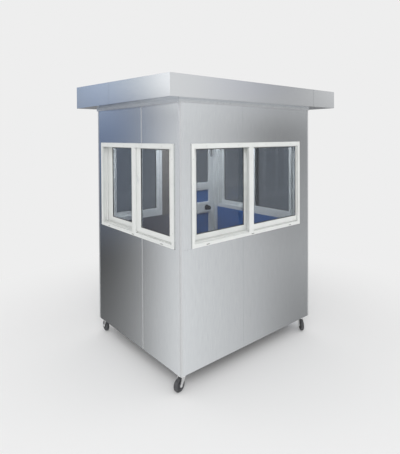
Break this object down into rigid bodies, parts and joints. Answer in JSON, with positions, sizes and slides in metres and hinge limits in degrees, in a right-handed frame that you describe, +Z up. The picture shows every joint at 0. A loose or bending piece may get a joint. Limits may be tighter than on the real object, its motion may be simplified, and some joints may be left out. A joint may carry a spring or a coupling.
{
  "type": "guard booth",
  "caption": "Mobile security guard booth: steel-clad box with a flat overhanging roof, sliding windows all round, a glazed back door and swivel casters.",
  "frame": {"origin": "floor level, under the middle of the roof", "axes": "+Z up, the front wall faces -Y, the door is in the back wall (+Y), +X to the right seen from the front"},
  "size_m": [2.075, 1.565, 2.457],
  "materials": {
    "wall_cladding": "fine brushed",
    "fascia_sheet": "fine brushed",
    "folded_trim": "satin",
    "soffit_sheet": "satin",
    "roof_sheet": "satin",
    "white_aluminium": "powder coated, semi-gloss",
    "tinted_glass": "clear with a light grey tint",
    "blue_panel": "semi-gloss blue",
    "base_steel": "satin primer",
    "floor_board": "matte sheet floor",
    "hinge_steel": "satin",
    "knob_metal": "dark polished",
    "zinc_plate": "bright zinc plated",
    "tyre_rubber": "matte"
  },
  "bodies": {
    "root": {"back_fascia": "fascia_sheet", "back_wall_panels": "wall_cladding", "back_wall_piers": "wall_cladding", "back_window_frame": "white_aluminium", "back_window_glass": "tinted_glass", "back_window_sashes": "white_aluminium", "base_cross_rails": "base_steel", "base_side_rails": "base_steel", "caster_plates": "zinc_plate", "ceiling": "soffit_sheet", "corner_strips": "folded_trim", "door_head": "white_aluminium", "door_jambs": "white_aluminium", "door_lintel": "wall_cladding", "eaves_trim": "folded_trim", "floor": "floor_board", "frame_hinges": "hinge_steel", "front_fascia": "fascia_sheet", "front_wall_panels": "wall_cladding", "front_wall_piers": "wall_cladding", "front_window_frame": "white_aluminium", "front_window_glass": "tinted_glass", "front_window_sashes": "white_aluminium", "left_fascia": "fascia_sheet", "left_wall_panels": "wall_cladding", "left_window_frame": "white_aluminium", "left_window_glass": "tinted_glass", "left_window_sashes": "white_aluminium", "right_fascia": "fascia_sheet", "right_wall_panels": "wall_cladding", "right_window_frame": "white_aluminium", "right_window_glass": "tinted_glass", "right_window_sashes": "white_aluminium", "roof_deck": "roof_sheet", "soffit": "soffit_sheet", "threshold": "wall_cladding"},
    "door": {"door_stiles": "white_aluminium", "door_rails": "white_aluminium", "door_panels": "blue_panel", "door_glass": "tinted_glass", "leaf_hinges": "hinge_steel", "knob_roses": "hinge_steel"},
    "door_knob": {"door_knobs": "knob_metal"},
    "caster_front_left": {"fork_front_left": "zinc_plate"},
    "caster_wheel_front_left": {"wheel_front_left": "tyre_rubber"},
    "caster_front_right": {"fork_front_right": "zinc_plate"},
    "caster_wheel_front_right": {"wheel_front_right": "tyre_rubber"},
    "caster_back_left": {"fork_back_left": "zinc_plate"},
    "caster_wheel_back_left": {"wheel_back_left": "tyre_rubber"},
    "caster_back_right": {"fork_back_right": "zinc_plate"},
    "caster_wheel_back_right": {"wheel_back_right": "tyre_rubber"}
  },
  "joints": [
    {"name": "door_hinge", "type": "hinge", "parent": "root", "child": "door", "pos_m": [0.0245, 0.7155, 1.175], "axis": [0, 0, 1], "range_deg": [0, 100]},
    {"name": "knob_turn", "type": "hinge", "parent": "door", "child": "door_knob", "pos_m": [0.5575, 0.7065, 1.098], "axis": [0, 1, 0], "range_deg": [-60, 60]},
    {"name": "swivel_front_left", "type": "hinge", "parent": "root", "child": "caster_front_left", "pos_m": [-0.7965, -0.5855, 0.1125], "axis": [0, 0, 1], "continuous": true},
    {"name": "roll_front_left", "type": "hinge", "parent": "caster_front_left", "child": "caster_wheel_front_left", "pos_m": [-0.82998, -0.5914, 0.052], "axis": [-0.1736, 0.9848, 0], "continuous": true},
    {"name": "swivel_front_right", "type": "hinge", "parent": "root", "child": "caster_front_right", "pos_m": [0.7295, -0.5855, 0.1125], "axis": [0, 0, 1], "continuous": true},
    {"name": "roll_front_right", "type": "hinge", "parent": "caster_front_right", "child": "caster_wheel_front_right", "pos_m": [0.70904, -0.61265, 0.052], "axis": [-0.7986, 0.6018, 0], "continuous": true},
    {"name": "swivel_back_left", "type": "hinge", "parent": "root", "child": "caster_back_left", "pos_m": [-0.7965, 0.6485, 0.1125], "axis": [0, 0, 1], "continuous": true},
    {"name": "roll_back_left", "type": "hinge", "parent": "caster_back_left", "child": "caster_wheel_back_left", "pos_m": [-0.79413, 0.68242, 0.052], "axis": [0.9976, -0.0698, 0], "continuous": true},
    {"name": "swivel_back_right", "type": "hinge", "parent": "root", "child": "caster_back_right", "pos_m": [0.7295, 0.6485, 0.1125], "axis": [0, 0, 1], "continuous": true},
    {"name": "roll_back_right", "type": "hinge", "parent": "caster_back_right", "child": "caster_wheel_back_right", "pos_m": [0.71787, 0.61655, 0.052], "axis": [-0.9397, 0.342, 0], "continuous": true}
  ]
}
